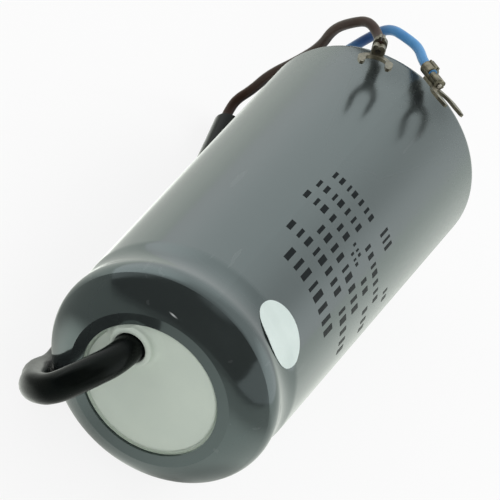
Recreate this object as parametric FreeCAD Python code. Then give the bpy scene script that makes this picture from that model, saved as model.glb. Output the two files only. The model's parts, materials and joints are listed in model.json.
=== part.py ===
"""Motor start capacitor with a cable: a round aluminium can in a shrunk grey plastic sleeve, a pale moulded
cover in its rolled mouth, and a two-core cable with fork terminals.

Row frame, millimetres: the can lies on its side along Y, its mouth and cable at -Y and its closed end at +Y.
Z is up, and the origin is on the floor, under the middle of the can with its cover boss.
"""
import FreeCAD, Part
import math
import os

V = FreeCAD.Vector
ALONG = V(0, 1, 0)

# Can and sleeve, radii from the can's own axis
body_radius = 25.0              # outside of the sleeve on the straight body
can_length = 103.4              # from the rim's flat ring to the closed end, over the sleeve
sleeve_wall = 0.35
can_wall = 0.40
can_bottom_wall = 0.80
closed_corner_radius = 1.5
sleeve_fold_radius = 19.0       # where the shrunk sleeve ends on the closed end
sleeve_edge_band = 0.30         # how far the sleeve reaches past the rolled rim, down to the cover

# Rolled mouth: flat ring, shoulder, crest, bead valley and the foot where the straight body starts
ring_inset = 7.1                # from the body's side in to the flat ring's outer edge
ring_width = 2.6
shoulder_arc_radius = 12.2
crest_proud = 0.3               # how far the crest stands out past the body
crest_place = 7.45              # distance of the crest from the flat ring
crest_arc_radius = 4.6
bead_depth = 0.5                # how far the bead's valley lies inside the body
crest_to_valley = 5.15
foot_arc_radius = 6.2

# Cover and its cable boss
cover_thickness = 5.0
groove_width = 0.55             # round the cover's face, beside the rim's lip
groove_depth = 0.50
groove_edge_radius = 0.40
skirt_wall = 4.2
skirt_past_crest = 2.15
boss_proud = 1.8                # how far the boss stands out past the flat ring
boss_inset = 4.47               # from the mouth's edge in to the boss's centre
boss_turn = -47.6               # degrees from the top, towards +X
boss_radius = 4.7
boss_root_flare = 1.6
boss_front_share = 0.6          # of the boss's wall, rounded at its outer lip
boss_hole_share = 0.25          # and at the lip of the cable hole
boss_flare_share = 0.9          # the most of the boss's height that its root flare may take

# Sealing and winding inside
gasket_width = 3.2
insulator_thickness = 1.0
winding_gap = 0.35
winding_tape_wall = 0.15
tape_margin = 8.0
winding_bore_radius = 3.5

# Cable: sheath and cores
sheath_radius = 3.2
cable_hole_gap = 0.2
sheath_start_depth = 3.0        # the free cable starts this far inside the boss
sheath_exit_run = 6.6           # and runs straight this far, out to its first bend
sheath_past_clamp = 0.95
core_radius = 1.1
core_spread = 1.15              # each core's centre from the cable's centre
core_depth = 2.2                # how far each free core reaches into the sheath's cut end
core_straight = 0.4             # and how far it runs on before its first bend
clamp_wall = 1.3
clamp_length = 3.0

# Splices and tabs
splice_radius = 1.8
splice_length = 5.5
tab_width = 4.0
tab_stem_width = 1.7
tab_thickness = 0.4
tab_slot_gap = 0.5
tab_run = 2.5                   # from the splices to the roll
splice_spread = 3.2             # each splice from the cable's centre, sideways
splice_drop = 2.1               # and below it
inner_core_run = 6.3            # from the sheath's inner end to the splices
inner_core_depth = 4.4          # how far each inner core reaches into the sheath's inner end
inner_core_share = 0.31         # of that run, straight at both ends

# Fork terminals, pressed from sheet
fork_sheet = 0.7
fork_half_width = 3.8
slot_half_width = 2.15
prong_length = 6.6              # past the slot's bottom, as are the next two
prong_root = 2.0                # where the straight side of a prong begins
side_middle = 0.2               # the middle of the curved side between neck and prong
side_bulge = 0.35               # how far that middle stands out past halfway
prong_side_taper = 0.1
tip_taper = 2.2
tip_width = 0.65
tip_chamfer = 0.35
neck_half_width = 1.45
neck_end = 1.6                  # behind the slot's bottom
conductor_barrel = (1.4, 2.9)   # distance behind the slot, length
insulation_barrel = (5.0, 2.6)
barrel_wall = 0.45
wing_share = 0.8                # of a B-crimp wing's radius: its centre's place to the side
wing_rise_share = 0.75          # and above the strands' centre
wing_grip = 0.5                 # how much of the strands' radius a wing covers
trough_wall_share = 0.8         # height of the trough between the barrels, of the core's centre height
trough_step = 0.1               # how far the trough's inside stands in from the insulation barrel's
seam_width = 0.3
seam_bead_radius = 0.34
strand_radius = 0.2
strand_squeeze = 0.02
strand_lift = 0.05              # the strands' bundle above the sheet
strand_brush = 0.3              # how far the strands stick out of the B-crimp towards the slot
strands_round = 6
line_up_run = 1.5               # straight stretch of core before its barrel

# Blank round sticker on the sleeve
sticker_radius = 6.9
sticker_thickness = 0.12
sticker_place = 16.3
sticker_turn = 33.5             # degrees from the top, towards +X

# Cord routes, chosen by hand: X, Y and height above the floor
cable_route = [                 # after the straight exit from the boss
    (-11.0, -63.9, 30.3), (-14.6, -66.5, 23.3), (-18.4, -62.3, 17.0), (-19.4, -53.5, 10.9),
    (-20.7, -46.0, 5.4), (-19.0, -39.6, 3.5), (-19.6, -31.2, 3.2), (-19.7, -17.8, 3.2),
    (-19.5, -1.8, 3.2), (-20.3, 14.2, 3.2), (-21.6, 28.2, 3.2), (-24.4, 42.2, 3.2),
    (-27.3, 55.7, 3.2)]
brown_route = [
    (-29.2, 58.4, 4.1), (-29.5, 60.7, 6.1), (-28.1, 62.5, 9.5), (-27.0, 63.1, 15.5),
    (-23.9, 62.6, 23.3), (-21.4, 61.3, 31.6), (-21.3, 59.5, 39.1), (-18.9, 57.7, 44.9),
    (-15.7, 56.2, 49.8)]
blue_route = [
    (-26.2, 59.3, 4.2), (-25.4, 61.6, 7.0), (-23.4, 62.9, 13.7), (-20.2, 63.1, 23.4),
    (-16.8, 62.5, 33.2), (-14.2, 61.3, 42.1), (-11.7, 60.0, 48.7), (-7.1, 58.1, 50.8),
    (-3.9, 56.8, 51.7)]
arc_share = 0.45                # of the shorter run beside a corner

# Fork terminals: slot bottom, and turns in degrees away from -Y, upwards, and about the fork's own length
brown_fork_at, brown_fork_turns = (-9.1, 43.1, 53.3), (10.0, 24.0, 16.0)
blue_fork_at, blue_fork_turns = (5.6, 46.6, 53.8), (51.0, 16.0, -24.0)

# Places worked out from the sizes above
crest_radius = body_radius + crest_proud
valley_radius = body_radius - bead_depth
ring_outer_radius = body_radius - ring_inset
mouth_radius = ring_outer_radius - ring_width
valley_place = crest_place + crest_to_valley
axis_height = crest_radius
rim_y = boss_proud - (can_length + boss_proud) / 2
closed_y = rim_y + can_length
boss_front_y = rim_y - boss_proud
cover_face_y = rim_y + sleeve_wall + can_wall
cover_back_y = cover_face_y + cover_thickness
skirt_end_y = rim_y + crest_place + skirt_past_crest
throat_y = rim_y + valley_place
can_floor_y = closed_y - sleeve_wall - can_bottom_wall
bore_radius = body_radius - sleeve_wall - can_wall
throat_radius = valley_radius - sleeve_wall - can_wall
sheath_start_y = boss_front_y + sheath_start_depth
tail_end_y = cover_back_y + clamp_length + sheath_past_clamp
splice_start_y = tail_end_y + inner_core_run
winding_start_y = splice_start_y + splice_length + tab_run
winding_end_y = can_floor_y - insulator_thickness
winding_radius = bore_radius - winding_gap - winding_tape_wall
boss_reach = mouth_radius - boss_inset
boss_sideways = boss_reach * math.sin(math.radians(boss_turn))
boss_above_axis = boss_reach * math.cos(math.radians(boss_turn))
cable_axis = (boss_sideways, boss_above_axis)
brown_splice_at = (boss_sideways - splice_spread, boss_above_axis - splice_drop)
blue_splice_at = (boss_sideways + splice_spread, boss_above_axis - splice_drop)
barrel_height = core_radius + fork_sheet / 2
bundle_radius = 3 * strand_radius - strand_squeeze
bundle_height = fork_sheet / 2 + strand_lift + bundle_radius
strands_start = conductor_barrel[0] - strand_brush
strands_length = insulation_barrel[0] - strands_start


def along_y(y, sideways=0.0, above=0.0):
    """A point at the given distance along Y, off the can's axis by the other two."""
    return V(sideways, y, axis_height + above)


def rod(radius, y0, y1, sideways=0.0, above=0.0):
    return Part.makeCylinder(radius, y1 - y0, along_y(y0, sideways, above), ALONG)


def ring(outer, inner, y0, y1, sideways=0.0, above=0.0):
    return rod(outer, y0, y1, sideways, above).cut(rod(inner, y0, y1, sideways, above))


def line(a, b):
    """A straight edge between two (y, radius) pairs, drawn above the can's axis."""
    return Part.makeLine(along_y(a[0], 0, a[1]), along_y(b[0], 0, b[1]))


def arc(centre, start, end):
    """An arc from start to end about centre, the short way, in (y, radius) pairs."""
    radius = math.dist(centre, start)
    way = (start[0] + end[0] - 2 * centre[0], start[1] + end[1] - 2 * centre[1])
    size = math.hypot(*way)
    middle = (centre[0] + way[0] / size * radius, centre[1] + way[1] / size * radius)
    return Part.Arc(along_y(start[0], 0, start[1]), along_y(middle[0], 0, middle[1]),
                    along_y(end[0], 0, end[1])).toShape()


def turned(edges):
    """The solid made by turning a closed outline about the can's axis."""
    face = Part.Face(Part.Wire(Part.__sortEdges__(edges)))
    solid = face.revolve(along_y(0), ALONG, 360)
    return solid if solid.Volume > 0 else solid.reversed()


def between(centre_a, centre_b, reach):
    """The point on the line from one centre to another, at the given distance from the first."""
    size = math.dist(centre_a, centre_b)
    return tuple(a + (b - a) / size * reach for a, b in zip(centre_a, centre_b))


def mouth_centres():
    """Centres of the mouth's four arcs, and the valley arc's radius."""
    dip = crest_radius - valley_radius
    span = valley_place - crest_place
    valley_arc_radius = (span ** 2 + dip ** 2) / (2 * dip) - crest_arc_radius
    crest = (rim_y + crest_place, crest_radius - crest_arc_radius)
    valley = (rim_y + valley_place, valley_radius + valley_arc_radius)
    rise = body_radius - valley_radius
    foot_span = math.sqrt(2 * rise * (valley_arc_radius + foot_arc_radius) - rise ** 2)
    foot = (rim_y + valley_place + foot_span, body_radius - foot_arc_radius)
    ring_edge = (rim_y, ring_outer_radius)
    reach = shoulder_arc_radius - crest_arc_radius
    gap = math.dist(ring_edge, crest)
    share = (shoulder_arc_radius ** 2 - reach ** 2 + gap ** 2) / (2 * gap)
    off = math.sqrt(shoulder_arc_radius ** 2 - share ** 2)
    step = between(ring_edge, crest, 1.0)
    unit = (step[0] - ring_edge[0], step[1] - ring_edge[1])
    shoulder = (ring_edge[0] + share * unit[0] + off * unit[1],
                ring_edge[1] + share * unit[1] - off * unit[0])
    return shoulder, crest, valley, foot, valley_arc_radius


def mouth_points(inset):
    """Corners of the mouth's outline for a face that lies inset inside the sleeve's outside."""
    shoulder, crest, valley, foot, valley_arc_radius = mouth_centres()
    shoulder_reach = shoulder_arc_radius - inset
    flat_y = rim_y + inset
    flat_edge = (flat_y, shoulder[1] + math.sqrt(shoulder_reach ** 2 - (shoulder[0] - flat_y) ** 2))
    return [flat_edge,
            between(shoulder, crest, shoulder_reach),
            between(crest, valley, crest_arc_radius - inset),
            between(valley, foot, valley_arc_radius + inset),
            (foot[0], body_radius - inset)]


def mouth_edges(inset, inner_radius):
    """The mouth's outline from the flat ring's inner edge to the straight body."""
    shoulder, crest, valley, foot, _ = mouth_centres()
    corners = mouth_points(inset)
    edges = [line((rim_y + inset, inner_radius), corners[0])]
    for centre, start, end in zip((shoulder, crest, valley, foot), corners, corners[1:]):
        edges.append(arc(centre, start, end))
    return edges, corners[-1]


def wall_edges(inset, inner_radius, end_y, end_radius):
    """One face of the can or sleeve: mouth, straight body, rounded corner and closed end."""
    edges, start = mouth_edges(inset, inner_radius)
    side = body_radius - inset
    corner = closed_corner_radius - min(inset, closed_corner_radius / 2)
    edges.append(line(start, (end_y - corner, side)))
    edges.append(arc((end_y - corner, side - corner), (end_y - corner, side), (end_y, side - corner)))
    edges.append(line((end_y, side - corner), (end_y, end_radius)))
    return edges


def sleeve():
    """The shrunk sleeve: it hugs the can from the mouth's edge to the closed end."""
    outside = wall_edges(0, mouth_radius, closed_y, sleeve_fold_radius)
    inside = wall_edges(sleeve_wall, mouth_radius, closed_y - sleeve_wall, sleeve_fold_radius)
    shell = turned(outside + inside + [
        line((rim_y, mouth_radius), (rim_y + sleeve_wall, mouth_radius)),
        line((closed_y, sleeve_fold_radius), (closed_y - sleeve_wall, sleeve_fold_radius))])
    lip = ring(mouth_radius + sleeve_edge_band, mouth_radius, rim_y + sleeve_wall, cover_face_y)
    return shell.fuse(lip).removeSplitter()


def can():
    """The drawn can: closed end, straight wall, bead and the rim rolled in over the cover."""
    lip = mouth_radius + sleeve_edge_band
    outside = wall_edges(sleeve_wall, lip, closed_y - sleeve_wall, 0)
    inside = wall_edges(sleeve_wall + can_wall, lip, can_floor_y, 0)
    return turned(outside + inside + [
        line((rim_y + sleeve_wall, lip), (cover_face_y, lip)),
        line((closed_y - sleeve_wall, 0), (can_floor_y, 0))])


def cover():
    """The moulded cover: a disc with a skirt that fills the rolled mouth, and a boss for the cable."""
    inset = sleeve_wall + can_wall
    shoulder, crest, valley, _, _ = mouth_centres()
    corners = mouth_points(inset)
    skirt_reach = math.sqrt((crest_arc_radius - inset) ** 2 - (skirt_end_y - crest[0]) ** 2)
    if skirt_end_y < corners[2][0]:
        skirt_outer = (skirt_end_y, crest[1] + skirt_reach)
        rim_arcs = [arc(crest, corners[1], skirt_outer)]
    else:
        valley_reach = math.dist(valley, corners[2])
        skirt_outer = (skirt_end_y, valley[1] - math.sqrt(valley_reach ** 2 - (skirt_end_y - valley[0]) ** 2))
        rim_arcs = [arc(crest, corners[1], corners[2]), arc(valley, corners[2], skirt_outer)]
    skirt_inner_radius = skirt_outer[1] - skirt_wall
    groove_floor_y = cover_face_y + groove_depth
    groove_inner = mouth_radius - groove_width
    edge_centre = (cover_face_y + groove_edge_radius, groove_inner - groove_edge_radius)
    disc = turned([
        line((cover_face_y, 0), (cover_face_y, edge_centre[1])),
        arc(edge_centre, (cover_face_y, edge_centre[1]), (edge_centre[0], groove_inner)),
        line((edge_centre[0], groove_inner), (groove_floor_y, groove_inner)),
        line((groove_floor_y, groove_inner), (groove_floor_y, mouth_radius)),
        line((groove_floor_y, mouth_radius), (cover_face_y, mouth_radius)),
        line((cover_face_y, mouth_radius), corners[0]),
        arc(shoulder, corners[0], corners[1]), *rim_arcs,
        line(skirt_outer, (skirt_end_y, skirt_inner_radius)),
        line((skirt_end_y, skirt_inner_radius), (cover_back_y, skirt_inner_radius)),
        line((cover_back_y, skirt_inner_radius), (cover_back_y, 0)),
        line((cover_back_y, 0), (cover_face_y, 0))])
    hole = rod(sheath_radius + cable_hole_gap, cover_face_y, cover_back_y, *cable_axis)
    return disc.cut(hole).fuse(cable_boss()).removeSplitter()


def cable_boss():
    """The cover's boss: a collar round the cable with rounded lips and a flared root, trimmed at the rim."""
    hole_radius = sheath_radius + cable_hole_gap
    root_y = cover_face_y + cover_thickness / 2
    wall = boss_radius - hole_radius
    front, back = wall * boss_front_share, wall * boss_hole_share
    flare = min(boss_root_flare, (cover_face_y - boss_front_y - front) * boss_flare_share)
    foot = boss_radius + flare
    collar = turned([
        line((boss_front_y, hole_radius + back), (boss_front_y, boss_radius - front)),
        arc((boss_front_y + front, boss_radius - front),
            (boss_front_y, boss_radius - front), (boss_front_y + front, boss_radius)),
        line((boss_front_y + front, boss_radius), (cover_face_y - flare, boss_radius)),
        arc((cover_face_y - flare, foot), (cover_face_y - flare, boss_radius), (cover_face_y, foot)),
        line((cover_face_y, foot), (root_y, foot)),
        line((root_y, foot), (root_y, hole_radius)),
        line((root_y, hole_radius), (boss_front_y + back, hole_radius)),
        arc((boss_front_y + back, hole_radius + back),
            (boss_front_y + back, hole_radius), (boss_front_y, hole_radius + back))])
    collar.translate(V(boss_sideways, 0, boss_above_axis))
    return collar.common(rod(mouth_radius, boss_front_y, root_y))


def sealing_gasket():
    """Rubber ring under the cover's skirt, in the bead's throat."""
    return ring(throat_radius, throat_radius - gasket_width, skirt_end_y, throat_y)


def cable_clamp():
    """Crimped collar behind the cover: it keeps a pull on the cable away from the splices."""
    end_y = cover_back_y + clamp_length
    return ring(sheath_radius + clamp_wall, sheath_radius, cover_back_y, end_y, *cable_axis)


def sheath_tail():
    return rod(sheath_radius, sheath_start_y, tail_end_y, *cable_axis).cut(core_holes())


def core_places():
    """Brown and blue core where the sheath ends inside the can: sideways and above the axis."""
    return [(boss_sideways - core_spread, boss_above_axis), (boss_sideways + core_spread, boss_above_axis)]


def core_holes():
    """The two cores' places in the sheath's inner end."""
    start_y = tail_end_y - inner_core_depth
    holes = [rod(core_radius, start_y, tail_end_y, *place) for place in core_places()]
    return holes[0].fuse(holes[1])


def cable_sheath():
    """The free cable's sheath, with the places of both cores in its cut end."""
    body = tube(cable_points(), sheath_radius, "cable_sheath")
    for inside, outside in core_starts():
        body = body.cut(Part.makeCylinder(core_radius, core_depth, inside, outside - inside))
    return body


def winding():
    """The wound foil and paper roll, open at its bore."""
    return ring(winding_radius, winding_bore_radius, winding_start_y, winding_end_y)


def winding_tape():
    """Tape that closes the roll."""
    return ring(winding_radius + winding_tape_wall, winding_radius,
                winding_start_y + tape_margin, winding_end_y - tape_margin)


def base_pad():
    return rod(bore_radius - closed_corner_radius, winding_end_y, can_floor_y)


def top_insulator():
    """Pressboard disc on the roll, slotted for the two tabs."""
    disc = ring(winding_radius, winding_bore_radius, winding_start_y - insulator_thickness, winding_start_y)
    for place in (brown_splice_at, blue_splice_at):
        disc = disc.cut(slab(tab_width + tab_slot_gap, tab_thickness + tab_slot_gap,
                             winding_start_y - insulator_thickness, winding_start_y, place))
    return disc


def slab(width, height, y0, y1, place):
    """A block centred on a place off the axis."""
    corner = along_y(y0, place[0] - width / 2, place[1] - height / 2)
    return Part.makeBox(width, y1 - y0, height, corner)


def tab(place):
    """Foil tab: a strip from the roll that narrows to a stem in its splice."""
    shoulder_y = splice_start_y + splice_length + tab_stem_width / 2
    strip = slab(tab_width, tab_thickness, shoulder_y, winding_start_y, place)
    stem = slab(tab_stem_width, tab_thickness, splice_start_y + splice_length / 2, shoulder_y, place)
    return strip.fuse(stem).removeSplitter()


def splice(place):
    """Closed crimp sleeve: the core enters from the cover's side and the tab's stem from the roll's."""
    middle_y = splice_start_y + splice_length / 2
    body = rod(splice_radius, splice_start_y, splice_start_y + splice_length, *place)
    body = body.cut(rod(core_radius, splice_start_y, middle_y, *place))
    return body.cut(slab(tab_stem_width, tab_thickness, middle_y, splice_start_y + splice_length, place))


def inner_core(start, end):
    """A core from the sheath's end to its splice, inside the can."""
    middle_y = splice_start_y + splice_length / 2
    clear_run = inner_core_run * inner_core_share
    return tube([along_y(tail_end_y - inner_core_depth, *start), along_y(tail_end_y + clear_run, *start),
                 along_y(splice_start_y - clear_run, *end), along_y(middle_y, *end)], core_radius)


def tube(points, radius, report=None):
    """A round tube along straight runs joined by tangent arcs, each as large as its two runs allow."""
    edges, radii, start = [], [], points[0]
    for before, corner, after in zip(points, points[1:], points[2:]):
        back = (before - corner).normalize()
        on = (after - corner).normalize()
        half_turn = (math.pi - back.getAngle(on)) / 2
        setback = arc_share * min(before.distanceToPoint(corner), after.distanceToPoint(corner))
        bend = setback / math.tan(half_turn)
        inwards = (back + on).normalize()
        middle = corner + inwards * (bend / math.cos(half_turn) - bend)
        edges.append(Part.LineSegment(start, corner + back * setback).toShape())
        edges.append(Part.Arc(corner + back * setback, middle, corner + on * setback).toShape())
        start = corner + on * setback
        radii.append(bend)
    edges.append(Part.LineSegment(start, points[-1]).toShape())
    path = Part.Wire(edges)
    circle = Part.Circle(points[0], points[1] - points[0], radius).toShape()
    solid = path.makePipeShell([Part.Wire(circle)], True, False)
    if report:
        ideal = math.pi * radius ** 2 * path.Length
        print(f"{report}: length {path.Length:.1f}, volume {solid.Volume / ideal:.4f} of ideal, radii",
              [round(r, 1) for r in radii])
    return solid


def cable_points():
    """The cable's route: it starts straight inside the boss."""
    exit_y = sheath_start_y - sheath_exit_run
    exit_points = [along_y(sheath_start_y, *cable_axis), along_y(exit_y, *cable_axis)]
    return exit_points + [V(*p) for p in cable_route]


def core_starts():
    """Brown and blue core, side by side: where each starts in the sheath, and a point straight outside it."""
    end = V(*cable_route[-1])
    way = (end - V(*cable_route[-2])).normalize()
    side = way.cross(V(0, 0, 1)).normalize()
    places = [end - side * core_spread, end + side * core_spread]
    return [[place - way * core_depth, place + way * core_straight] for place in places]


def fork_frame(place, turns):
    """The fork's own frame: X to its tips, Y across, Z out of the sheet on the barrels' side."""
    yaw, pitch, roll = (math.radians(t) for t in turns)
    tips = V(math.sin(yaw) * math.cos(pitch), -math.cos(yaw) * math.cos(pitch), math.sin(pitch))
    level = V(math.cos(yaw), math.sin(yaw), 0)
    upright = tips.cross(level)
    across = level * math.cos(roll) + upright * math.sin(roll)
    out = upright * math.cos(roll) - level * math.sin(roll)
    turn = FreeCAD.Rotation(tips, across, out, "XZY")
    return FreeCAD.Placement(V(*place), turn)


def fork_outline(side):
    """Half of the fork's sheet outline, from the neck round a prong to the slot; side is 1 or -1."""
    taper_x = prong_length - tip_taper
    middle_width = (neck_half_width + fork_half_width) / 2 + side_bulge
    outline = {
        "neck": (-insulation_barrel[0], neck_half_width),
        "neck_end": (-neck_end, neck_half_width),
        "side_middle": (side_middle, middle_width),
        "prong_root": (prong_root, fork_half_width),
        "taper": (taper_x, fork_half_width - prong_side_taper),
        "tip_outer": (prong_length, slot_half_width + tip_chamfer + tip_width),
        "tip_inner": (prong_length, slot_half_width + tip_chamfer),
        "inner_taper": (taper_x, slot_half_width),
        "slot_start": (slot_half_width, slot_half_width)}
    return {name: V(x, side * y, -fork_sheet / 2) for name, (x, y) in outline.items()}


def fork_sheet_shape():
    """The flat part: two prongs, the web between them and the strip under the barrels."""
    left, right = fork_outline(1), fork_outline(-1)
    edges = []
    for side in (left, right):
        edges.append(Part.makeLine(side["neck"], side["neck_end"]))
        edges.append(Part.Arc(side["neck_end"], side["side_middle"], side["prong_root"]).toShape())
        straight = ["prong_root", "taper", "tip_outer", "tip_inner", "inner_taper", "slot_start"]
        for start, end in zip(straight, straight[1:]):
            edges.append(Part.makeLine(side[start], side[end]))
    edges.append(Part.Arc(left["slot_start"], V(0, 0, -fork_sheet / 2), right["slot_start"]).toShape())
    edges.append(Part.makeLine(left["neck"], right["neck"]))
    return Part.Face(Part.Wire(Part.__sortEdges__(edges))).extrude(V(0, 0, fork_sheet))


def fork_terminal():
    """Open-barrel fork: slotted tongue, B-crimp on the strands, trough and insulation crimp."""
    body = fork_sheet_shape().fuse([conductor_crimp(), crimp_trough(), insulation_crimp()])
    body = body.cut(barrel_rod(bundle_radius, strands_start, strands_length, height=bundle_height))
    return body.cut(barrel_rod(core_radius, *insulation_barrel)).removeSplitter()


def barrel_rod(radius, behind, length, across=0.0, height=barrel_height):
    """A rod along the fork, from the given distance behind its slot."""
    return Part.makeCylinder(radius, length, V(-behind, across, height), V(-1, 0, 0))


def conductor_crimp():
    """The B-crimp: a round bottom, and two wings rolled in on top with a furrow between them."""
    behind, length = conductor_barrel
    wing = bundle_radius * wing_grip + barrel_wall
    outer = barrel_rod(bundle_radius + barrel_wall, behind, length, height=bundle_height)
    wing_height = bundle_height + wing * wing_rise_share
    for side in (-1, 1):
        outer = outer.fuse(barrel_rod(wing, behind, length, side * wing * wing_share, wing_height))
    return outer


def crimp_trough():
    """The low walls that join both barrels, bent up from the same sheet."""
    behind = conductor_barrel[0]
    length = insulation_barrel[0] - behind
    reach = core_radius + barrel_wall
    walls = barrel_rod(reach, behind, length).cut(barrel_rod(core_radius - trough_step, behind, length))
    top = barrel_height * trough_wall_share
    return walls.cut(Part.makeBox(length, 2 * reach, reach + barrel_height, V(-behind - length, -reach, top)))


def insulation_crimp():
    """The insulation barrel: a ring with an open seam on top and a beaded edge on each side of it."""
    behind, length = insulation_barrel
    shell = barrel_rod(core_radius + barrel_wall, behind, length)
    bead_height = barrel_height + core_radius + barrel_wall
    for side in (-1, 1):
        bead_place = side * (seam_width + seam_bead_radius) / 2
        shell = shell.fuse(barrel_rod(seam_bead_radius, behind, length, bead_place, bead_height))
    seam = Part.makeBox(length, seam_width, bead_height, V(-behind - length, -seam_width / 2, barrel_height))
    return shell.cut(seam)


def bundle():
    """Copper strands in the B-crimp: one in the middle and six round it."""
    rods = [barrel_rod(strand_radius, strands_start, strands_length, height=bundle_height)]
    pitch = bundle_radius - strand_radius
    for turn in range(strands_round):
        angle = math.radians(360 / strands_round * turn)
        rods.append(barrel_rod(strand_radius, strands_start, strands_length, pitch * math.cos(angle),
                               bundle_height + pitch * math.sin(angle)))
    return rods[0].fuse(rods[1:])


def wire_end(frame):
    """The point that lines a core up with its fork's insulation barrel, and the barrel's inner end."""
    inner_x = -insulation_barrel[0]
    outer_x = inner_x - insulation_barrel[1] - line_up_run
    return [frame.multVec(V(outer_x, 0, barrel_height)), frame.multVec(V(inner_x, 0, barrel_height))]


def wire(name, start, route, frame):
    """One core of the cable, from the sheath's cut end to its fork."""
    return tube(start + [V(*p) for p in route] + wire_end(frame), core_radius, name)


def round_sticker():
    """A blank round sticker that follows the sleeve, down into the bead's valley."""
    corners = mouth_points(-sticker_thickness)
    _, crest, valley, foot, _ = mouth_centres()
    reach_y = rim_y + sticker_place + 2 * sticker_radius
    low = mouth_points(0)
    over = [arc(crest, corners[1], corners[2]), arc(valley, corners[2], corners[3]),
            arc(foot, corners[3], corners[4]), line(corners[4], (reach_y, body_radius + sticker_thickness))]
    under = [arc(crest, low[1], low[2]), arc(valley, low[2], low[3]),
             arc(foot, low[3], low[4]), line(low[4], (reach_y, body_radius))]
    shell = turned(over + under + [line(low[1], corners[1]),
                                   line((reach_y, body_radius), (reach_y, body_radius + sticker_thickness))])
    cutter = Part.makeCylinder(sticker_radius, 2 * body_radius, along_y(rim_y + sticker_place), V(0, 0, 1))
    cutter.rotate(along_y(0), ALONG, sticker_turn)
    return shell.common(cutter)


brown_start, blue_start = core_starts()
brown_frame = fork_frame(brown_fork_at, brown_fork_turns)
blue_frame = fork_frame(blue_fork_at, blue_fork_turns)
brown_inner, blue_inner = core_places()


def placed(shape, frame):
    shape.Placement = frame
    return shape


nodes = {
    "can": can(),
    "sleeve": sleeve(),
    "cover": cover(),
    "sealing_gasket": sealing_gasket(),
    "winding": winding(),
    "winding_tape": winding_tape(),
    "base_pad": base_pad(),
    "top_insulator": top_insulator(),
    "tab_brown": tab(brown_splice_at),
    "tab_blue": tab(blue_splice_at),
    "splice_brown": splice(brown_splice_at),
    "splice_blue": splice(blue_splice_at),
    "inner_core_brown": inner_core(brown_inner, brown_splice_at),
    "inner_core_blue": inner_core(blue_inner, blue_splice_at),
    "cable_clamp": cable_clamp(),
    "sheath_tail": sheath_tail(),
    "round_sticker": round_sticker(),
    "cable_sheath": cable_sheath(),
    "wire_brown": wire("wire_brown", brown_start, brown_route, brown_frame),
    "wire_blue": wire("wire_blue", blue_start, blue_route, blue_frame),
    "fork_brown": placed(fork_terminal(), brown_frame),
    "fork_blue": placed(fork_terminal(), blue_frame),
    "strands_brown": placed(bundle(), brown_frame),
    "strands_blue": placed(bundle(), blue_frame),
}

os.makedirs("parts", exist_ok=True)
for name, shape in nodes.items():
    shape.exportStep(f"parts/{name}.step")
    print(f"{name}: {len(shape.Solids)} solid, {shape.Volume / 1000:.3f} cm3, valid {shape.isValid()}")
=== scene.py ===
# %% [markdown]
# # A motor start capacitor, dressed in Blender
#
# The part is a metal can in a shrunk grey plastic sleeve. It lies on a pale floor, with its rolled mouth
# and moulded cover towards us. A black cable leaves the cover, and its two cores end in fork terminals
# above the can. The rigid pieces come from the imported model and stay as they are. This lesson adds what
# they lack: the cable and its cores as smooth curves, the printing and the sticker on the sleeve, a finish
# for every surface, the light and a camera.

# %% Load the frame
import json
import math

import bpy
from mathutils import Matrix, Vector


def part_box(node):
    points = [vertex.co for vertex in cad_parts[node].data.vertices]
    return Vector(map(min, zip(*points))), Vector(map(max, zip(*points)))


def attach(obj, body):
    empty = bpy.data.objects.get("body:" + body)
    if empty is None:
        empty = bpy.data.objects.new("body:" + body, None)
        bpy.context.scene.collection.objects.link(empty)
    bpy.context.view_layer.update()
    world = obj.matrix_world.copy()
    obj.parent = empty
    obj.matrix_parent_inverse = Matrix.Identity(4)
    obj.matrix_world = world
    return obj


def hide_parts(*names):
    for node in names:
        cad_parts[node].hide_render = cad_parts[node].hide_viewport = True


MM = 0.001
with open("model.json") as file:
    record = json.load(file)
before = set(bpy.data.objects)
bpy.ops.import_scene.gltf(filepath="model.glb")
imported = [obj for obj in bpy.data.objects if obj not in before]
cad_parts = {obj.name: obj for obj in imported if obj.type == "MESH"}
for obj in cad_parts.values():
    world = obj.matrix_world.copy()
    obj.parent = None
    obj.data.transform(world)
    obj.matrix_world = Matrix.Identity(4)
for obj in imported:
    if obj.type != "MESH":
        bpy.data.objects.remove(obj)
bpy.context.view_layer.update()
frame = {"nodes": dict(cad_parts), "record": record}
nodes = frame["nodes"]
print("nodes:", len(nodes))

# %% [markdown]
# The can's axis is found from the sleeve itself. Its box gives the length and the widest radius, at the
# crest of the rolled mouth, and the record's body mount gives the radius of the straight body. So the
# printing and the sticker stay on the sleeve if the can's size changes.

# %% Where the can is
sleeve_low, sleeve_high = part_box("sleeve")
axis_height = (sleeve_low[2] + sleeve_high[2]) / 2
rim_y = sleeve_low[1]
closed_y = sleeve_high[1]
mounts = {mount["name"]: mount for mount in frame["record"]["mounts"]}
body_radius = mounts["can_body"]["dims"]["r_mm"] * MM
print("can from", round(rim_y, 4), "to", round(closed_y, 4), "radius", body_radius)

# %% [markdown]
# ## The camera
#
# The photograph was taken from far away with a long lens, which keeps the can's sides nearly parallel, and
# the camera was rolled by some forty degrees. Its place and its directions were worked out from the can's
# outline. A camera looks along its own -Z, so the third column of its matrix is the backward direction.

# %% Camera
camera_place = Vector((57.57, -926.8, 826.09)) * MM
camera_right = Vector((0.778234, 0.438713, 0.449314))
camera_up = Vector((-0.625979, 0.484963, 0.610705))
camera_back = camera_right.cross(camera_up)

bpy.ops.object.camera_add(location=camera_place)
camera = bpy.context.object
camera.name = "photo_camera"
turn = Matrix((camera_right, camera_up, camera_back)).transposed()
camera.matrix_world = Matrix.Translation(camera_place) @ turn.to_4x4()
camera.data.sensor_width = 36.0
camera.data.lens = 426.96
camera.data.clip_end = 20.0
bpy.context.scene.camera = camera
print("camera lens", camera.data.lens)

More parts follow.
